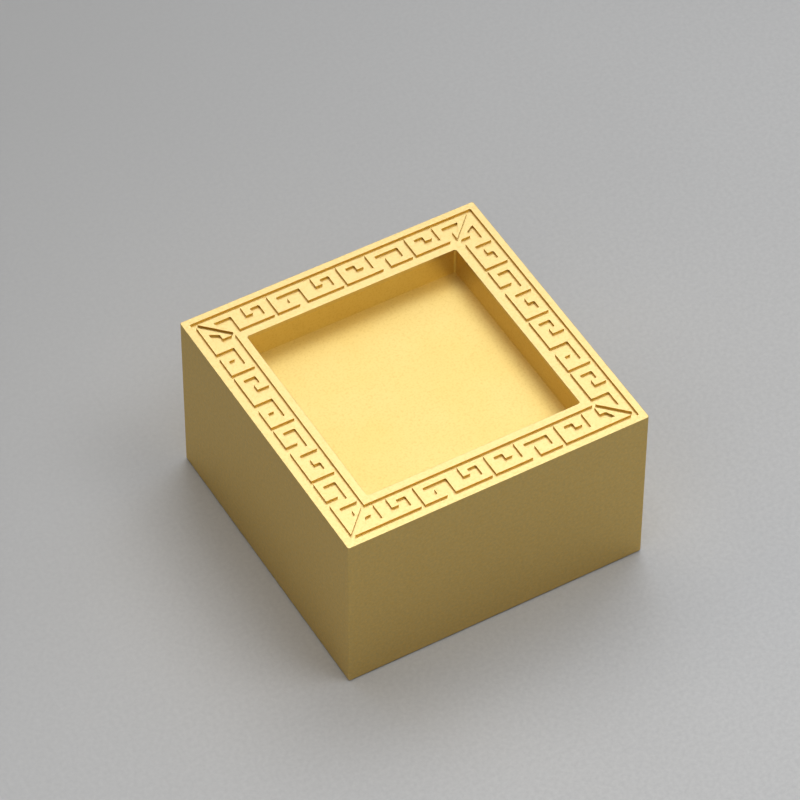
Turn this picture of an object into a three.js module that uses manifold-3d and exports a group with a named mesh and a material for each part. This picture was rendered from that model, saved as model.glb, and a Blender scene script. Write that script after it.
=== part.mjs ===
// A square desk paperweight: a solid brass block with a shallow square well in its top.
// A band sunk round the well carries a raised meander fret, cut by a mitre groove at each corner.
// A felt pad, glued into a pocket in the underside, stands proud and keeps the brass off the desk.
// Millimetres, +Z up. The origin is on the desk, under the middle of the block.

import * as THREE from 'three';
import { mergeVertices } from 'three/addons/utils/BufferGeometryUtils.js';
import Module from 'manifold-3d';

// Whole object
const blockWidth = 50;
const overallHeight = 30;
const blockEdgeRadius = 0.3;

// Well in the top
const wellWidth = 35.5;
const wellDepth = 4.9;
const wellCornerRadius = 0.4;

// Sunk band between the two rims
const outerRimWidth = 1.07;
const bandWidth = 4.93;
const bandDepth = 0.4;
const bandCornerRadius = 0.2;

// Raised fret in the band: two rows along the side, joined by bars across it
const fretInset = 0.58;
const fretWidth = 3.8;
const rowWidth = 0.9;
const barWidth = 1.12;
const mitreWidth = 0.62;

// Distances of the bars' centres from the middle of their side
const columns = [0.86, 3.5, 5.85, 8.32, 10.88, 12.6, 15.25, 17.33];

// Filled corner of the fret, in from its mitre
const cornerTongueEnd = 5.93;
const cornerTongueStart = 5;
const cornerSlantStart = 4.17;
const cornerTongueTop = 3.97;

// Pad and adhesive in the pocket of the underside
const padWidth = 45;
const padCornerRadius = 2;
const padThickness = 1.05;
const adhesiveThickness = 0.2;
const padProud = 0.25;
const pocketClearance = 0.3;

// Worked out from the sizes above
const halfWidth = blockWidth / 2;
const bandFloor = overallHeight - bandDepth;
const pocketRoof = padThickness + adhesiveThickness;
const outerRow = outerRimWidth + fretInset + rowWidth / 2;
const innerRow = outerRimWidth + fretInset + fretWidth - rowWidth / 2;
const middleRow = (outerRow + innerRow) / 2;
const fretStart = outerRimWidth + fretInset;

// How far a cutter runs past the face that it cuts
const cutterOverrun = 1;
const roundSegments = 8;

const wasm = await Module();
wasm.setup();

// ---------- from three.js geometry to solids and back ----------

function solidFrom(geometry) {
  geometry.deleteAttribute('normal');
  geometry.deleteAttribute('uv');
  const merged = mergeVertices(geometry);
  const mesh = new wasm.Mesh({
    numProp: 3,
    vertProperties: merged.getAttribute('position').array,
    triVerts: new Uint32Array(merged.getIndex().array),
  });
  return new wasm.Manifold(mesh);
}

function geometryFrom(solid) {
  const mesh = solid.getMesh();
  const geometry = new THREE.BufferGeometry();
  geometry.setAttribute('position', new THREE.BufferAttribute(mesh.vertProperties, 3));
  geometry.setIndex(new THREE.BufferAttribute(mesh.triVerts, 1));
  geometry.computeVertexNormals();
  return geometry;
}

function joined(solids) {
  return solids.reduce((whole, solid) => whole.add(solid));
}

// ---------- outlines and prisms ----------

function roundedSquare(width, radius) {
  const half = width / 2;
  const centre = half - radius;
  const shape = new THREE.Shape();
  const corners = [[1, 1], [-1, 1], [-1, -1], [1, -1]];
  corners.forEach(([sideX, sideY], quarter) => {
    const start = (quarter * Math.PI) / 2;
    shape.absarc(sideX * centre, sideY * centre, radius, start, start + Math.PI / 2);
  });
  shape.closePath();
  return shape;
}

function polygon(points) {
  return new THREE.Shape(points.map(([x, y]) => new THREE.Vector2(x, y)));
}

function rectangle(xLow, yLow, xHigh, yHigh) {
  return polygon([[xLow, yLow], [xHigh, yLow], [xHigh, yHigh], [xLow, yHigh]]);
}

function prism(shape, zLow, zHigh) {
  const geometry = new THREE.ExtrudeGeometry(shape, {
    depth: zHigh - zLow,
    bevelEnabled: false,
    curveSegments: roundSegments,
  });
  geometry.translate(0, 0, zLow);
  return geometry;
}

// ---------- the fret ----------
// One side of the fret is drawn on the side that faces -Y. A column is a distance from the middle
// of the side, and a row is a depth in from the outer face. Each half of a side mirrors the other.

// Two hooked scrolls that hang from opposite rows and lock into each other.
function scrollPath(hookRow, backRow) {
  return [
    [columns[3], middleRow], [columns[3], hookRow], [columns[4], hookRow], [columns[4], backRow],
    [columns[2], backRow], [columns[2], hookRow], [columns[0], hookRow], [columns[0], backRow],
    [columns[1], backRow], [columns[1], middleRow],
  ];
}

// The run from the last scroll to the mitre, looped back through the corner bar.
function loopedCornerPaths() {
  return [[
    [columns[6], middleRow], [columns[6], outerRow], [columns[5], outerRow], [columns[5], innerRow],
    [columns[7], innerRow], [columns[7], outerRow], [halfWidth - cornerSlantStart, outerRow],
  ]];
}

// The run to the mitre along the outer row, with the corner bar standing off it.
function straightCornerPaths() {
  return [
    [
      [columns[6], middleRow], [columns[6], innerRow], [columns[5], innerRow],
      [columns[5], outerRow], [halfWidth - cornerSlantStart, outerRow],
    ],
    [[columns[7], outerRow], [columns[7], innerRow]],
  ];
}

// One straight stretch of a path. An end on the middle row is a free tip and is cut off there.
function stretchOutline([columnA, rowA], [columnB, rowB]) {
  const xLow = Math.min(columnA, columnB) - barWidth / 2;
  const xHigh = Math.max(columnA, columnB) + barWidth / 2;
  const rowLow = Math.min(rowA, rowB);
  const rowHigh = Math.max(rowA, rowB);
  const vLow = rowLow === middleRow ? rowLow : rowLow - rowWidth / 2;
  const vHigh = rowHigh === middleRow ? rowHigh : rowHigh + rowWidth / 2;
  return rectangle(xLow, vLow - halfWidth, xHigh, vHigh - halfWidth);
}

function cornerOutline() {
  const points = [
    [fretStart, fretStart], [cornerTongueEnd, cornerTongueEnd],
    [cornerTongueEnd, cornerTongueTop], [cornerTongueStart, cornerTongueTop],
    [cornerSlantStart, fretStart + rowWidth], [cornerSlantStart, fretStart],
  ];
  return polygon(points.map(([in1, in2]) => [halfWidth - in1, in2 - halfWidth]));
}

function fretSide(paths) {
  const outlines = [cornerOutline()];
  for (const path of paths) {
    for (let index = 1; index < path.length; index += 1) {
      outlines.push(stretchOutline(path[index - 1], path[index]));
    }
  }
  const low = bandFloor - cutterOverrun;
  const high = overallHeight + 2 * cutterOverrun;
  const half = joined(outlines.map((outline) => solidFrom(prism(outline, low, high))));
  return half.add(half.mirror([1, 0, 0]));
}

function fretRing() {
  const looped = fretSide([scrollPath(innerRow, outerRow), ...loopedCornerPaths()]);
  const straight = fretSide([scrollPath(outerRow, innerRow), ...straightCornerPaths()]);
  const loopedSides = [90, 180, 270].map((angle) => looped.rotate([0, 0, angle]));
  return joined([straight, ...loopedSides]).subtract(mitreCutters());
}

function mitreCutters() {
  const low = bandFloor - 2 * cutterOverrun;
  const high = overallHeight + 3 * cutterOverrun;
  const slot = rectangle(-blockWidth, -mitreWidth / 2, blockWidth, mitreWidth / 2);
  const slots = [45, 135].map((angle) => {
    const geometry = prism(slot, low, high);
    geometry.rotateZ(THREE.MathUtils.degToRad(angle));
    return solidFrom(geometry);
  });
  return joined(slots);
}

// ---------- sub-parts ----------

function brassBlock() {
  const blank = solidFrom(prism(roundedSquare(blockWidth, blockEdgeRadius), padProud, overallHeight));

  const wellOutline = roundedSquare(wellWidth, wellCornerRadius);
  const well = solidFrom(prism(wellOutline, overallHeight - wellDepth, overallHeight + cutterOverrun));

  const bandOuter = halfWidth - outerRimWidth;
  const bandInner = bandOuter - bandWidth;
  const bandOutline = roundedSquare(2 * bandOuter, bandCornerRadius);
  bandOutline.holes.push(rectangle(-bandInner, -bandInner, bandInner, bandInner));
  const band = solidFrom(prism(bandOutline, bandFloor, overallHeight + cutterOverrun));
  const recess = band.subtract(fretRing());

  const pocketWidth = padWidth + 2 * pocketClearance;
  const pocketOutline = roundedSquare(pocketWidth, padCornerRadius + pocketClearance);
  const pocket = solidFrom(prism(pocketOutline, padProud - cutterOverrun, pocketRoof));

  const solid = blank.subtract(well).subtract(recess).subtract(pocket);
  const material = new THREE.MeshStandardMaterial({ color: 0xd9b45a, roughness: 0.38, metalness: 1 });
  material.flatShading = true;
  return new THREE.Mesh(geometryFrom(solid), material);
}

function feltPad() {
  const outline = roundedSquare(padWidth, padCornerRadius);
  const material = new THREE.MeshStandardMaterial({ color: 0x24211f, roughness: 0.95, metalness: 0 });
  return new THREE.Mesh(prism(outline, 0, padThickness), material);
}

function adhesiveFilm() {
  const outline = roundedSquare(padWidth, padCornerRadius);
  const material = new THREE.MeshStandardMaterial({ color: 0xe6dfc8, roughness: 0.3, metalness: 0 });
  const film = new THREE.Mesh(prism(outline, 0, adhesiveThickness), material);
  film.position.z = padThickness;
  return film;
}

const paperweight = new THREE.Group();
const subParts = { brass_block: brassBlock(), felt_pad: feltPad(), adhesive_film: adhesiveFilm() };
for (const [name, mesh] of Object.entries(subParts)) {
  mesh.name = name;
  paperweight.add(mesh);
}

export default paperweight;
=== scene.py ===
"""A square brass paperweight with a shallow well and a raised meander border, in a plain studio."""
import math

import bmesh
import bpy
from mathutils import Matrix, Vector


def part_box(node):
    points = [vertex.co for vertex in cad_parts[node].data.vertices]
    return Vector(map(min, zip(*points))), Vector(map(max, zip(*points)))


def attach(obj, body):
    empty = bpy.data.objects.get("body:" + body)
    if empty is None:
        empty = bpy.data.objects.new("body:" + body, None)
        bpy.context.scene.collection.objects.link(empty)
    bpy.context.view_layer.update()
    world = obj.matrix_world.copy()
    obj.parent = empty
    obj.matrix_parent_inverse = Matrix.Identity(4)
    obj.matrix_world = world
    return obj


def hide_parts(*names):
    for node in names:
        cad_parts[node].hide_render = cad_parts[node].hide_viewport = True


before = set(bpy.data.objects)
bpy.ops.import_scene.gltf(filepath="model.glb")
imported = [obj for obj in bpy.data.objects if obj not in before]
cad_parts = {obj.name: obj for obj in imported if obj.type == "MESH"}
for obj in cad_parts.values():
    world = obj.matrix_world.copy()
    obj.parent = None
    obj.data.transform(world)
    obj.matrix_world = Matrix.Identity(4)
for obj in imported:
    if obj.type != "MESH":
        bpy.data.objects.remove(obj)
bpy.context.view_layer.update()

MM = 0.001

# ---------- sizes worked out from the frame ----------

BLOCK_LOW, BLOCK_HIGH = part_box("brass_block")
BLOCK_WIDTH = BLOCK_HIGH.x - BLOCK_LOW.x
BLOCK_TOP = BLOCK_HIGH.z
BLOCK_BOTTOM = BLOCK_LOW.z
MID_HEIGHT = BLOCK_TOP / 2

# ---------- relief, and the softened edges ----------

OUTER_RIM_WIDTH = 1.07 * MM
BAND_WIDTH = 4.93 * MM
BAND_DEPTH = 0.4 * MM
BAND_OUTER = BLOCK_WIDTH / 2 - OUTER_RIM_WIDTH
BAND_INNER = BAND_OUTER - BAND_WIDTH
BAND_FLOOR = BLOCK_TOP - BAND_DEPTH
UPRIGHT_EDGE_RADIUS = 0.3 * MM

CUTTER_RADIUS = 0.2 * MM
CUTTER_SEGMENTS = 4
RIM_EDGE_RADIUS = 0.05 * MM
BASE_EDGE_RADIUS = 0.1 * MM
BRASS_EDGE_SEGMENTS = 2
PAD_EDGE_RADIUS = 0.15 * MM
PAD_EDGE_SEGMENTS = 3

TOLERANCE = 0.01 * MM
WELD_DISTANCE = 0.001 * MM
FLAT_ANGLE = math.radians(1)
CORNER_ANGLE = math.radians(20)
UPRIGHT_SHARE = 0.99

# ---------- camera ----------

CAMERA_AZIMUTH = 30.24
CAMERA_ELEVATION = 48.05
CAMERA_ROLL = 0.25
CAMERA_DISTANCE = 14.194 * BLOCK_WIDTH
CAMERA_LENS = 214.5
SENSOR_WIDTH = 36.0
AIM_POINT = Vector((0.0445 * BLOCK_WIDTH, 0.1477 * BLOCK_WIDTH, MID_HEIGHT))
CAMERA_FAR_LIMIT = 10.0

# ---------- floor and its shading ----------

FLOOR_HALF_WIDTH = 40 * BLOCK_WIDTH
# Reach of the floor's painted light, from its darker end to its paler end.
FLOOR_PAINTED_LIGHT_REACH = 120 * MM

# ---------- colour sockets of the Mix node ----------

MIX_FIRST = 6
MIX_SECOND = 7
MIX_RESULT = 2


# ---------- node helpers ----------

class Nodes:
    """A small builder for one material's node tree."""

    def __init__(self, name):
        self.material = bpy.data.materials.new(name)
        self.material.use_nodes = True
        self.tree = self.material.node_tree
        self.tree.nodes.clear()
        self.coordinates = self.add("ShaderNodeTexCoord").outputs["Object"]

    def add(self, kind, **settings):
        node = self.tree.nodes.new(kind)
        for key, value in settings.items():
            setattr(node, key, value)
        return node

    def link(self, source, target):
        self.tree.links.new(source, target)

    def put(self, value, target):
        """Sets a socket to a constant, or links it to another socket."""
        if isinstance(value, bpy.types.NodeSocket):
            self.link(value, target)
        else:
            target.default_value = value

    def scaled(self, x, y, z):
        """The object's coordinates, stretched by a factor along each axis."""
        node = self.add("ShaderNodeMapping")
        self.link(self.coordinates, node.inputs["Vector"])
        node.inputs["Scale"].default_value = (x, y, z)
        return node.outputs["Vector"]

    def noise(self, feature, detail=2.0, roughness=0.5, vector=None):
        """Noise whose largest features are about that long, in metres."""
        node = self.add("ShaderNodeTexNoise")
        self.link(vector or self.coordinates, node.inputs["Vector"])
        node.inputs["Scale"].default_value = 1 / feature
        node.inputs["Detail"].default_value = detail
        node.inputs["Roughness"].default_value = roughness
        return node.outputs["Fac"]

    def spread(self, value, low, high, to_low=0.0, to_high=1.0):
        """A value between low and high, mapped to a new range and clamped there."""
        node = self.add("ShaderNodeMapRange")
        self.link(value, node.inputs["Value"])
        node.inputs["From Min"].default_value = low
        node.inputs["From Max"].default_value = high
        node.inputs["To Min"].default_value = to_low
        node.inputs["To Max"].default_value = to_high
        return node.outputs["Result"]

    def math(self, operation, first, second):
        node = self.add("ShaderNodeMath", operation=operation)
        self.put(first, node.inputs[0])
        self.put(second, node.inputs[1])
        return node.outputs["Value"]

    def mix(self, factor, first, second):
        node = self.add("ShaderNodeMix", data_type="RGBA")
        self.put(factor, node.inputs["Factor"])
        self.put(first, node.inputs[MIX_FIRST])
        self.put(second, node.inputs[MIX_SECOND])
        return node.outputs[MIX_RESULT]

    def bump(self, height, distance, normal=None):
        node = self.add("ShaderNodeBump")
        node.inputs["Strength"].default_value = 1.0
        node.inputs["Distance"].default_value = distance
        self.link(height, node.inputs["Height"])
        if normal is not None:
            self.link(normal, node.inputs["Normal"])
        return node.outputs["Normal"]

    def surface(self, **inputs):
        """The Principled shader, with each named input a constant or a link."""
        shader = self.add("ShaderNodeBsdfPrincipled")
        for key, value in inputs.items():
            self.put(value, shader.inputs[key])
        output = self.add("ShaderNodeOutputMaterial")
        self.link(shader.outputs["BSDF"], output.inputs["Surface"])
        return self.material


# ---------- materials ----------

def satin_brass():
    """Brass: smoothest on the rims and border, duller in the well, and roughest round the sides. Its
    colour holds painted light: a greyer top border for its highlight, darker sides and darker orange
    relief walls for their shade.
    """
    n = Nodes("satin_brass")
    patches = n.noise(9 * MM, detail=3.0)
    grain = n.noise(0.34 * MM, detail=2.0, roughness=0.6)
    pores = n.noise(0.13 * MM, detail=1.0)
    mottle = n.noise(0.5 * MM, detail=4.0, roughness=0.75)
    brushing = n.noise(0.3 * MM, detail=2.0, vector=n.scaled(0.04, 0.04, 1.0))

    split = n.add("ShaderNodeSeparateXYZ")
    n.link(n.coordinates, split.inputs["Vector"])
    from_x = n.math("ABSOLUTE", split.outputs["X"], 0.0)
    from_y = n.math("ABSOLUTE", split.outputs["Y"], 0.0)
    across = n.math("MAXIMUM", from_x, from_y)
    height = split.outputs["Z"]
    # Painted shade: the sides get a darker brass than the top, mottled at random between two tones.
    side_start = BLOCK_WIDTH / 2 - UPRIGHT_EDGE_RADIUS
    outside = n.spread(across, side_start, side_start + UPRIGHT_EDGE_RADIUS / 2)
    under_rim = n.spread(height, BLOCK_TOP - RIM_EDGE_RADIUS, BLOCK_TOP, 1.0, 0.0)
    sides = n.math("MULTIPLY", outside, under_rim)
    # Painted highlight: the top border above this height gets a greyer, less saturated brass that
    # stands in for its washed-out highlight; the same mask also sets its smoother finish.
    border = n.spread(height, BLOCK_TOP - 2 * BAND_DEPTH, BLOCK_TOP - 1.5 * BAND_DEPTH)
    # Painted shade: the relief's upright walls get a darker, deeper orange brass that stands in for
    # their shade and the brass they mirror.
    half_depth = BAND_DEPTH / 2
    above_middle = n.math("SUBTRACT", height, BLOCK_TOP - half_depth)
    from_middle = n.math("ABSOLUTE", above_middle, 0.0)
    partway = n.spread(from_middle, half_depth - 0.04 * MM, half_depth - 0.01 * MM, 1.0, 0.0)
    banded = n.spread(across, BAND_INNER - 0.1 * MM, BAND_INNER - 0.05 * MM)
    painted_shade_walls = n.math("MULTIPLY", partway, banded)

    clean = (0.86, 0.645, 0.235, 1.0)
    warm = (0.86, 0.63, 0.215, 1.0)
    # Painted highlight colour of the top border.
    painted_highlight_border_tone = (0.79, 0.59, 0.25, 1.0)
    # Painted shade colour of the relief's walls.
    painted_shade_wall_tone = (0.70, 0.44, 0.075, 1.0)
    side_light = (0.77, 0.56, 0.19, 1.0)
    side_dark = (0.66, 0.495, 0.195, 1.0)
    speck = (0.72, 0.49, 0.13, 1.0)
    tone = n.mix(n.spread(patches, 0.35, 0.65), clean, warm)
    tone = n.mix(border, tone, painted_highlight_border_tone)
    tone = n.mix(painted_shade_walls, tone, painted_shade_wall_tone)
    painted_shade_side_tone = n.mix(n.spread(mottle, 0.35, 0.65), side_light, side_dark)
    tone = n.mix(sides, tone, painted_shade_side_tone)
    colour = n.mix(n.spread(grain, 0.5, 0.8, 0.0, 0.5), tone, speck)

    milled = n.spread(border, 0.0, 1.0, 0.48, 0.38)
    sawn = n.spread(sides, 0.0, 1.0, 0.0, 0.62)
    finish = n.math("MAXIMUM", milled, sawn)
    rough = n.math("ADD", finish, n.spread(grain, 0.3, 0.7, -0.04, 0.04))
    normal = n.bump(brushing, 0.0022 * MM)
    normal = n.bump(grain, 0.008 * MM, normal)
    normal = n.bump(pores, 0.0035 * MM, normal)
    return n.surface(**{
        "Base Color": colour,
        "Metallic": 1.0,
        "Roughness": rough,
        "Normal": normal,
    })


def pressed_felt():
    """Dark pressed wool felt: matted fibres, with a soft bloom at grazing angles."""
    n = Nodes("pressed_felt")
    clumps = n.noise(1.6 * MM, detail=4.0, roughness=0.65)
    fibres = n.noise(0.14 * MM, detail=3.0, roughness=0.7)
    dark = (0.012, 0.011, 0.010, 1.0)
    light = (0.045, 0.041, 0.037, 1.0)
    clump_shade = n.spread(clumps, 0.3, 0.7, 0.5, 1.0)
    fibre_shade = n.spread(fibres, 0.3, 0.75)
    shade = n.math("MULTIPLY", clump_shade, fibre_shade)
    colour = n.mix(shade, dark, light)
    normal = n.bump(fibres, 0.06 * MM)
    normal = n.bump(clumps, 0.05 * MM, normal)
    return n.surface(**{
        "Base Color": colour,
        "Roughness": n.spread(fibres, 0.3, 0.7, 0.85, 1.0),
        "Sheen Weight": 0.3,
        "Sheen Roughness": 0.6,
        "Normal": normal,
    })


def adhesive():
    """Pale acrylic adhesive with small trapped bubbles."""
    n = Nodes("adhesive")
    bubbles = n.noise(0.8 * MM, detail=3.0)
    film = (0.62, 0.56, 0.42, 1.0)
    bubble = (0.74, 0.70, 0.58, 1.0)
    colour = n.mix(n.spread(bubbles, 0.4, 0.7), film, bubble)
    normal = n.bump(bubbles, 0.02 * MM)
    return n.surface(**{
        "Base Color": colour,
        "Roughness": n.spread(bubbles, 0.3, 0.7, 0.25, 0.45),
        "Normal": normal,
    })


def studio_board():
    """The plain grey board under the paperweight, with painted light: paler toward -Y and a little
    toward +X.
    """
    n = Nodes("studio_board")
    drift = n.noise(60 * MM, detail=3.0)
    tooth = n.noise(0.7 * MM, detail=3.0, roughness=0.6)
    split = n.add("ShaderNodeSeparateXYZ")
    n.link(n.coordinates, split.inputs["Vector"])
    # Painted light: a ramp across the board, paler toward -Y and a little toward +X.
    along_x = n.math("MULTIPLY", split.outputs["X"], 0.45)
    along_y = n.math("MULTIPLY", split.outputs["Y"], -0.9)
    along = n.math("ADD", along_x, along_y)
    painted_light = n.spread(along, -FLOOR_PAINTED_LIGHT_REACH, FLOOR_PAINTED_LIGHT_REACH)

    painted_shade_end = (0.48, 0.475, 0.465, 1.0)
    painted_light_end = (0.775, 0.765, 0.75, 1.0)
    cloud = (0.44, 0.435, 0.43, 1.0)
    fleck = (0.45, 0.445, 0.44, 1.0)
    colour = n.mix(painted_light, painted_shade_end, painted_light_end)
    colour = n.mix(n.spread(drift, 0.35, 0.65, 0.0, 0.08), colour, cloud)
    colour = n.mix(n.spread(tooth, 0.3, 0.7, 0.0, 0.3), colour, fleck)
    return n.surface(**{
        "Base Color": colour,
        "Roughness": 0.75,
        "Normal": n.bump(tooth, 0.02 * MM),
    })


# ---------- the block ----------

def is_upright(edge):
    span = edge.verts[1].co - edge.verts[0].co
    return abs(span.z) > UPRIGHT_SHARE * span.length


def lies_at(edge, height):
    return all(abs(vert.co.z - height) < TOLERANCE for vert in edge.verts)


def in_band(edge):
    """Upright edges of the relief reach from the band's floor to the top of the block."""
    low, high = sorted(vert.co.z for vert in edge.verts)
    return abs(low - BAND_FLOOR) < TOLERANCE and abs(high - BLOCK_TOP) < TOLERANCE


def clears_band(edge):
    """Edges of the two rims that are not part of the relief."""
    reaches = [max(abs(vert.co.x), abs(vert.co.y)) for vert in edge.verts]
    return min(reaches) > BAND_OUTER + TOLERANCE or max(reaches) < BAND_INNER - TOLERANCE


def is_corner(edge):
    """Two faces that meet at a real angle, not a seam across a flat face."""
    return len(edge.link_faces) == 2 and edge.calc_face_angle(0.0) > CORNER_ANGLE


def is_inside_corner(edge):
    """Upright corners of the relief that a round cutter can't leave sharp."""
    return is_upright(edge) and in_band(edge) and is_corner(edge) and not edge.is_convex


def is_rim(edge):
    """Top edges of the two rims."""
    return lies_at(edge, BLOCK_TOP) and is_corner(edge) and clears_band(edge)


def merged_copy(node):
    """An editable copy of a CAD node's mesh, with its flat faces made whole."""
    bm = bmesh.new()
    bm.from_mesh(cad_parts[node].data)
    bmesh.ops.remove_doubles(bm, verts=bm.verts, dist=WELD_DISTANCE)
    bmesh.ops.dissolve_limit(bm, angle_limit=FLAT_ANGLE, verts=bm.verts, edges=bm.edges)
    return bm


def finished_mesh(bm, name):
    mesh = bpy.data.meshes.new(name)
    bm.to_mesh(mesh)
    bm.free()
    return mesh


def round_edges(bm, edges, radius, segments):
    bmesh.ops.bevel(
        bm,
        geom=edges,
        offset=radius,
        offset_type="OFFSET",
        segments=segments,
        profile=0.5,
        affect="EDGES",
        clamp_overlap=False,
    )


def block_mesh():
    """The milled block, with a cutter's radius in the relief's inside corners and its rims eased."""
    bm = merged_copy("brass_block")
    inside = [edge for edge in bm.edges if is_inside_corner(edge)]
    round_edges(bm, inside, CUTTER_RADIUS, CUTTER_SEGMENTS)
    rims = [edge for edge in bm.edges if is_rim(edge)]
    round_edges(bm, rims, RIM_EDGE_RADIUS, BRASS_EDGE_SEGMENTS)
    base = [edge for edge in bm.edges if lies_at(edge, BLOCK_BOTTOM) and is_corner(edge)]
    round_edges(bm, base, BASE_EDGE_RADIUS, BRASS_EDGE_SEGMENTS)
    for face in bm.faces:
        face.smooth = False
    return finished_mesh(bm, "brass_block_finish")


def add_piece(name, mesh, material):
    piece = bpy.data.objects.new(name, mesh)
    bpy.context.scene.collection.objects.link(piece)
    piece.data.materials.clear()
    piece.data.materials.append(material)
    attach(piece, "root")
    return piece


def build_block():
    piece = add_piece("brass_block_finish", block_mesh(), satin_brass())
    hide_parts("brass_block")


# ---------- the pad and its adhesive ----------

def build_pad():
    bm = merged_copy("felt_pad")
    rims = [edge for edge in bm.edges if not is_upright(edge) and is_corner(edge)]
    round_edges(bm, rims, PAD_EDGE_RADIUS, PAD_EDGE_SEGMENTS)
    mesh = finished_mesh(bm, "felt_pad_cloth")
    piece = add_piece("felt_pad_cloth", mesh, pressed_felt())
    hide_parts("felt_pad")


def finish_adhesive():
    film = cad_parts["adhesive_film"]
    film.data.materials.clear()
    film.data.materials.append(adhesive())


# ---------- studio ----------

def build_floor():
    half = FLOOR_HALF_WIDTH
    mesh = bpy.data.meshes.new("studio_floor")
    corners = [(-half, -half, 0), (half, -half, 0), (half, half, 0), (-half, half, 0)]
    mesh.from_pydata(corners, [], [(0, 1, 2, 3)])
    floor = bpy.data.objects.new("studio_floor", mesh)
    floor.data.materials.append(studio_board())
    bpy.context.scene.collection.objects.link(floor)


def aim(obj, location, target, roll=0.0):
    look = (target - location).to_track_quat("-Z", "Y").to_matrix().to_4x4()
    turn = Matrix.Rotation(math.radians(roll), 4, "Z")
    obj.matrix_world = Matrix.Translation(location) @ look @ turn


NEUTRAL = (0.98, 1.0, 1.03)
COOL = (0.85, 1.0, 1.25)
WARM = (1.25, 1.0, 0.6)

# Softboxes over the block and round its +X and +Y sides, which aim at its middle.
# Each has a name, an azimuth from +X toward +Y and an elevation in degrees, watts and a colour.
SOFTBOXES = [
    ("overhead_softbox", 0, 90, 1.45, NEUTRAL),
    ("right_front_softbox", 315, 62, 2.9, NEUTRAL),
    ("right_back_softbox", 45, 62, 2.45, NEUTRAL),
    ("back_softbox", 90, 62, 1.6, NEUTRAL),
    ("back_panel", 60, 38, 0.74, NEUTRAL),
    ("right_back_panel", 20, 45, 0.68, COOL),
    ("left_back_panel", 140, 38, 0.8, WARM),
]
SOFTBOX_DISTANCE = 1.2
SOFTBOX_WIDTH = 0.55

# Small weak lamps closer in, between the block's -X and -Y sides
CARDS = [
    ("left_card", 200, 35, 0.01, NEUTRAL),
    ("front_card", 235, 60, 0.025, NEUTRAL),
]
CARD_DISTANCE = 0.2
CARD_WIDTH = 0.08

AIR_COLOUR = (0.95, 0.97, 1.0, 1.0)
AIR_STRENGTH = 0.12


def add_softbox(name, azimuth, elevation, watts, colour, distance, width):
    light = bpy.data.lights.new(name, "AREA")
    light.shape = "SQUARE"
    light.size = width
    light.energy = watts
    light.color = colour
    lamp = bpy.data.objects.new(name, light)
    lamp.visible_camera = False
    bpy.context.scene.collection.objects.link(lamp)
    turn = math.radians(azimuth)
    tilt = math.radians(elevation)
    flat = math.cos(tilt)
    direction = Vector((math.cos(turn) * flat, math.sin(turn) * flat, math.sin(tilt)))
    aim(lamp, direction * distance, Vector((0, 0, MID_HEIGHT)))


def build_lights():
    for softbox in SOFTBOXES:
        add_softbox(*softbox, SOFTBOX_DISTANCE, SOFTBOX_WIDTH)
    for card in CARDS:
        add_softbox(*card, CARD_DISTANCE, CARD_WIDTH)
    world = bpy.data.worlds.new("studio_air")
    world.use_nodes = True
    background = world.node_tree.nodes["Background"]
    background.inputs["Color"].default_value = AIR_COLOUR
    background.inputs["Strength"].default_value = AIR_STRENGTH
    bpy.context.scene.world = world


def build_camera():
    azimuth = math.radians(CAMERA_AZIMUTH)
    elevation = math.radians(CAMERA_ELEVATION)
    back = Vector((
        -math.sin(azimuth) * math.cos(elevation),
        -math.cos(azimuth) * math.cos(elevation),
        math.sin(elevation),
    ))
    data = bpy.data.cameras.new("camera")
    data.lens = CAMERA_LENS
    data.sensor_width = SENSOR_WIDTH
    data.clip_end = CAMERA_FAR_LIMIT
    camera = bpy.data.objects.new("camera", data)
    bpy.context.scene.collection.objects.link(camera)
    aim(camera, AIM_POINT + back * CAMERA_DISTANCE, AIM_POINT, CAMERA_ROLL)
    bpy.context.scene.camera = camera


build_camera()
build_floor()
build_lights()
build_block()
build_pad()
finish_adhesive()
bpy.context.scene.view_settings.view_transform = "Standard"
